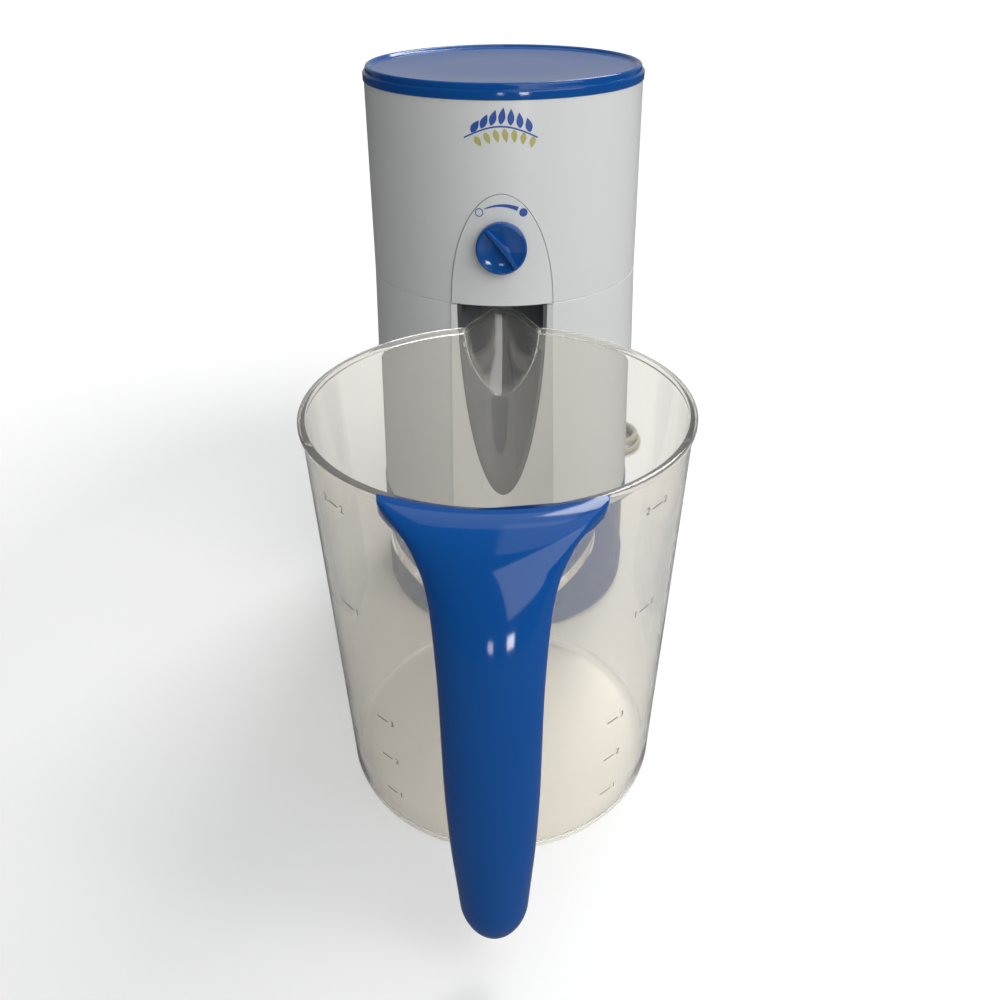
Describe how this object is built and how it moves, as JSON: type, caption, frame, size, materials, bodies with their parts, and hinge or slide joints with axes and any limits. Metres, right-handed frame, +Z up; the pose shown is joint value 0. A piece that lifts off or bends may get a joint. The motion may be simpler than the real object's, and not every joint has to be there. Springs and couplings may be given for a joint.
{
  "type": "iced tea maker",
  "caption": "Round brewing tower with a lift-off head, strength dial and spout recess, and a clear tapered pitcher with a cantilever handle that docks against it.",
  "frame": {"origin": "centre of the footprint of tower and docked pitcher, at table height", "axes": "+Z up; +Y from the pitcher's handle towards the brewing tower; +X to the right as seen from the handle's side"},
  "size_m": [0.1987, 0.4876, 0.311],
  "materials": {
    "blue_plastic": "glossy moulded blue",
    "white_plastic": "satin moulded white",
    "grey_plastic": "fine matt dark grey",
    "tank_plastic": "natural milky plastic",
    "clear_plastic": "clear moulded plastic",
    "black_plastic": "matt black",
    "rocker_plastic": "glossy black",
    "cord_white": "soft white vinyl",
    "rubber": "matt",
    "silicone": "milky translucent silicone",
    "ceramic": "glazed ceramic",
    "steel": "plain",
    "steel_tube": "drawn tube",
    "cast_aluminium": "as cast",
    "brass": "plain",
    "mesh": "fine woven mesh"
  },
  "bodies": {
    "base": {"base_skirt": "blue_plastic", "bottom_cover": "grey_plastic", "feet": "rubber", "cover_screws": "steel", "body_shell": "white_plastic", "recess_liner": "grey_plastic", "water_tank": "tank_plastic", "riser_tube": "steel_tube", "riser_grommet": "silicone", "heater_block": "cast_aluminium", "heater_strap": "steel", "strap_screws": "steel", "heater_terminals": "ceramic", "thermostat": "black_plastic", "thermal_fuse": "ceramic", "inlet_hoses": "silicone", "check_valve": "tank_plastic", "outlet_hose": "silicone", "switch_bezel": "black_plastic", "cord_gland": "cord_white", "cord_lead": "cord_white", "cord_hank": "cord_white", "cord_tie": "black_plastic", "plug_body": "cord_white", "plug_blades": "brass"},
    "head": {"brew_head": "white_plastic", "control_panel": "white_plastic", "drip_nozzle": "grey_plastic", "valve_box": "tank_plastic", "shaft_seal": "rubber"},
    "strength_dial": {"dial": "blue_plastic", "dial_shaft": "steel", "valve_disc": "tank_plastic"},
    "basket": {"basket_frame": "blue_plastic", "basket_mesh": "mesh"},
    "lid": {"lid": "blue_plastic", "shower_plate": "white_plastic"},
    "rocker": {"switch_rocker": "rocker_plastic"},
    "pitcher": {"pitcher_body": "clear_plastic", "handle_front": "blue_plastic", "handle_back": "blue_plastic", "handle_screws": "steel"}
  },
  "joints": [
    {"name": "brew_head_lift", "type": "slide", "parent": "base", "child": "head", "axis": [0, 0, 1], "range_m": [0, 0.15]},
    {"name": "lid_lift", "type": "slide", "parent": "head", "child": "lid", "axis": [0, 0, 1], "range_m": [0, 0.2]},
    {"name": "basket_lift", "type": "slide", "parent": "head", "child": "basket", "axis": [0, 0, 1], "range_m": [0, 0.1]},
    {"name": "dial_turn", "type": "hinge", "parent": "head", "child": "strength_dial", "pos_m": [0, 0.109, 0.2384], "axis": [0, 1, 0], "range_deg": [0, 76]},
    {"name": "rocker_tip", "type": "hinge", "parent": "base", "child": "rocker", "pos_m": [0, 0.18678, 0.047], "axis": [-1, 0, 0], "range_deg": [0, 14]},
    {"name": "pitcher_slide", "type": "slide", "parent": "base", "child": "pitcher", "axis": [0, -1, 0], "range_m": [0, 0.12]}
  ],
  "couplings": [
    {"joint": "basket_lift", "follows": "lid_lift", "ratio": 0.5}
  ]
}
